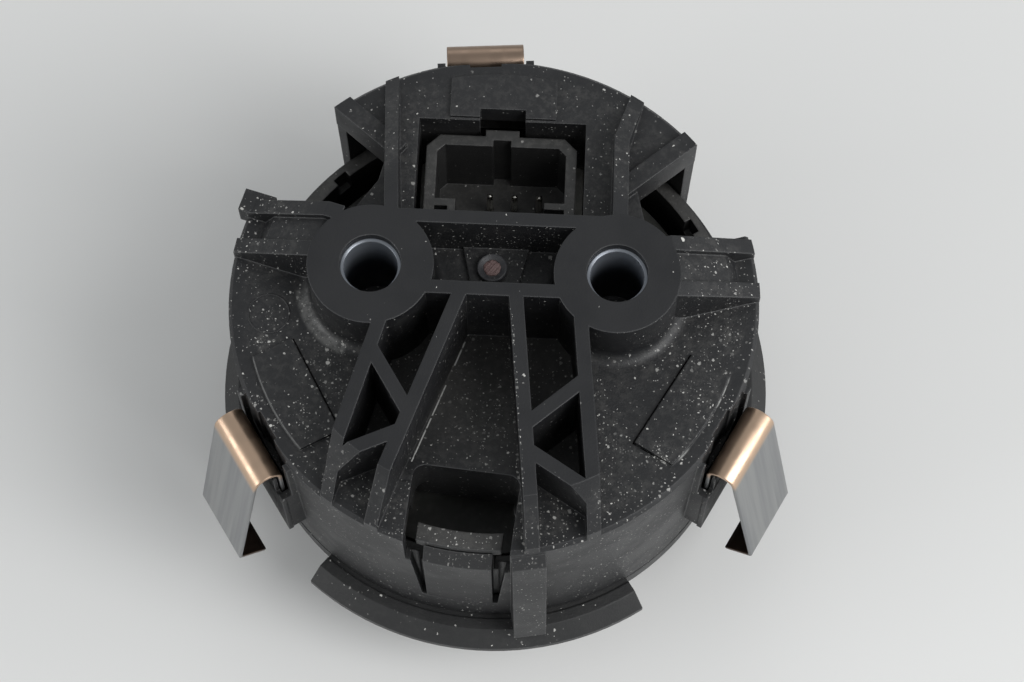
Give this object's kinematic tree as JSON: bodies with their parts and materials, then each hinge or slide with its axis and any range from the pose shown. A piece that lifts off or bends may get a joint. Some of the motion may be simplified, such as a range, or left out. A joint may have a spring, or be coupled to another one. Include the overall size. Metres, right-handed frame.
{
  "type": "four-wheel drive switch",
  "caption": "Round rotary drive-mode switch module with ribbed back housing, sleeved bosses, connector bay, spring clips and a knob.",
  "frame": {"origin": "centre of the knob's face, which the part stands on", "axes": "+Z out of the back of the housing along the knob's axis, X along the line of the two bosses, +Y towards the connector"},
  "size_m": [0.0607, 0.0621, 0.043],
  "materials": {
    "housing_black": "satin black glass-filled moulding",
    "inner_black": "satin black moulding",
    "bezel_black": "fine-textured black moulding",
    "sleeve_steel": "smooth plated tube",
    "pin_plating": "bright plated",
    "clip_steel": "rolled spring steel with a bronze tint",
    "board": "dark board lacquer",
    "screw_steel": "zinc plated",
    "lamp": "milky lamp body",
    "chip_black": "moulded black body",
    "clear_plastic": "clear moulding",
    "spring_steel": "rolled spring steel",
    "rotor_plastic": "natural low-friction moulding",
    "wiper_brass": "spring bronze",
    "knob_black": "fine-textured black moulding",
    "grip_rubber": "soft-touch ridged ring",
    "cap_grey": "semi-gloss dark cap",
    "pointer_white": "white moulding"
  },
  "bodies": {
    "housing": {"rear_housing": "housing_black", "front_housing": "inner_black", "sleeve_left": "sleeve_steel", "sleeve_right": "sleeve_steel", "header_shroud": "inner_black", "header_pin_1": "pin_plating", "header_pin_2": "pin_plating", "header_pin_3": "pin_plating", "header_pin_4": "pin_plating", "header_pin_5": "pin_plating", "header_pin_6": "pin_plating", "spring_clip_rear": "clip_steel", "spring_clip_left": "clip_steel", "spring_clip_right": "clip_steel", "circuit_board": "board", "board_screws": "screw_steel", "led_left": "lamp", "led_right": "lamp", "dimmer_resistor": "chip_black", "sensor_chip": "chip_black", "light_guide": "clear_plastic", "front_bezel": "bezel_black", "detent_spring": "spring_steel"},
    "rotary": {"contact_rotor": "rotor_plastic", "contact_wiper": "wiper_brass", "shaft_ring": "spring_steel", "knob": "knob_black", "knob_grip": "grip_rubber", "knob_cap": "cap_grey", "knob_pointer": "pointer_white"}
  },
  "joints": [
    {"name": "knob_turn", "type": "hinge", "parent": "housing", "child": "rotary", "pos_m": [0, 0, 0.0145], "axis": [0, 0, 1], "range_deg": [0, 80], "deforming": ["detent_spring"]}
  ]
}
